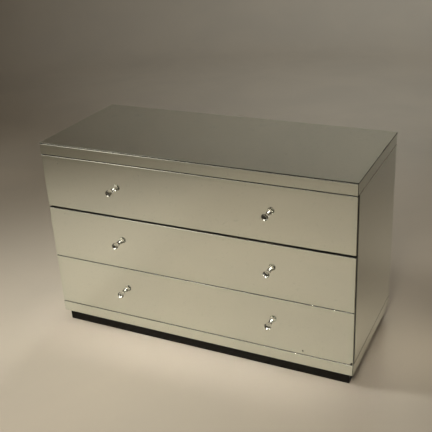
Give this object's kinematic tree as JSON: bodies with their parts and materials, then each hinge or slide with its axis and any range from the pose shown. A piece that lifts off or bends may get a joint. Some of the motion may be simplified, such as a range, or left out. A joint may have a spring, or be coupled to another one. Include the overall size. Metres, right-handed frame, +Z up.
{
  "type": "mirrored chest of drawers",
  "caption": "Rectangular chest clad in mirror glass, with full-width drawers on ball-bearing slides, cut crystal knobs and a recessed black plinth.",
  "frame": {"origin": "on the floor, under the middle of the chest's box with its knobs", "axes": "+Z up, drawers open towards -Y, +X to the right of someone who faces the drawers"},
  "size_m": [1.2, 0.529, 0.764],
  "materials": {
    "mirror": "silvered mirror glass with ground arrises",
    "carcass": "fibreboard painted satin black",
    "plinth": "painted satin black",
    "back_panel": "bare brown hardboard",
    "drawer_box": "lacquered birch plywood",
    "dowel": "plain beech",
    "crystal": "polished cut crystal",
    "knob_base": "polished chrome",
    "slide": "bright zinc plate",
    "ball_cage": "bright zinc plate with polished balls",
    "screw": "zinc plate"
  },
  "bodies": {
    "cabinet": {"back_panel": "back_panel", "back_panel_screws": "screw", "base_front_mirror": "mirror", "base_front_rail": "carcass", "base_left_mirror": "mirror", "base_right_mirror": "mirror", "bottom_board": "carcass", "carcass_dowels": "dowel", "left_side_board": "carcass", "left_side_mirror": "mirror", "lower_cross_rail": "carcass", "plinth_back": "plinth", "plinth_front": "plinth", "plinth_left": "plinth", "plinth_right": "plinth", "right_side_board": "carcass", "right_side_mirror": "mirror", "slide_cabinet_members": "slide", "slide_cabinet_screws": "screw", "top_back_rail": "carcass", "top_board": "carcass", "top_front_mirror": "mirror", "top_front_rail": "carcass", "top_left_mirror": "mirror", "top_mirror": "mirror", "top_right_mirror": "mirror", "upper_cross_rail": "carcass"},
    "upper_drawer": {"upper_drawer_back": "drawer_box", "upper_drawer_bottom": "drawer_box", "upper_drawer_front_board": "carcass", "upper_drawer_knob_bases": "knob_base", "upper_drawer_knob_heads": "crystal", "upper_drawer_left_side": "drawer_box", "upper_drawer_mirror": "mirror", "upper_drawer_right_side": "drawer_box", "upper_drawer_screws": "screw", "upper_drawer_slide_members": "slide"},
    "middle_drawer": {"middle_drawer_back": "drawer_box", "middle_drawer_bottom": "drawer_box", "middle_drawer_front_board": "carcass", "middle_drawer_knob_bases": "knob_base", "middle_drawer_knob_heads": "crystal", "middle_drawer_left_side": "drawer_box", "middle_drawer_mirror": "mirror", "middle_drawer_right_side": "drawer_box", "middle_drawer_screws": "screw", "middle_drawer_slide_members": "slide"},
    "lower_drawer": {"lower_drawer_back": "drawer_box", "lower_drawer_bottom": "drawer_box", "lower_drawer_front_board": "carcass", "lower_drawer_knob_bases": "knob_base", "lower_drawer_knob_heads": "crystal", "lower_drawer_left_side": "drawer_box", "lower_drawer_mirror": "mirror", "lower_drawer_right_side": "drawer_box", "lower_drawer_screws": "screw", "lower_drawer_slide_members": "slide"},
    "upper_ball_cages": {"upper_slide_ball_cages": "ball_cage"},
    "middle_ball_cages": {"middle_slide_ball_cages": "ball_cage"},
    "lower_ball_cages": {"lower_slide_ball_cages": "ball_cage"}
  },
  "joints": [
    {"name": "upper_drawer_slide", "type": "slide", "parent": "cabinet", "child": "upper_drawer", "axis": [0, -1, 0], "range_m": [0, 0.337]},
    {"name": "middle_drawer_slide", "type": "slide", "parent": "cabinet", "child": "middle_drawer", "axis": [0, -1, 0], "range_m": [0, 0.337]},
    {"name": "lower_drawer_slide", "type": "slide", "parent": "cabinet", "child": "lower_drawer", "axis": [0, -1, 0], "range_m": [0, 0.337]},
    {"name": "upper_cage_slide", "type": "slide", "parent": "cabinet", "child": "upper_ball_cages", "axis": [0, -1, 0], "range_m": [0, 0.1685]},
    {"name": "middle_cage_slide", "type": "slide", "parent": "cabinet", "child": "middle_ball_cages", "axis": [0, -1, 0], "range_m": [0, 0.1685]},
    {"name": "lower_cage_slide", "type": "slide", "parent": "cabinet", "child": "lower_ball_cages", "axis": [0, -1, 0], "range_m": [0, 0.1685]}
  ],
  "couplings": [
    {"joint": "upper_cage_slide", "follows": "upper_drawer_slide", "ratio": 0.5},
    {"joint": "middle_cage_slide", "follows": "middle_drawer_slide", "ratio": 0.5},
    {"joint": "lower_cage_slide", "follows": "lower_drawer_slide", "ratio": 0.5}
  ]
}
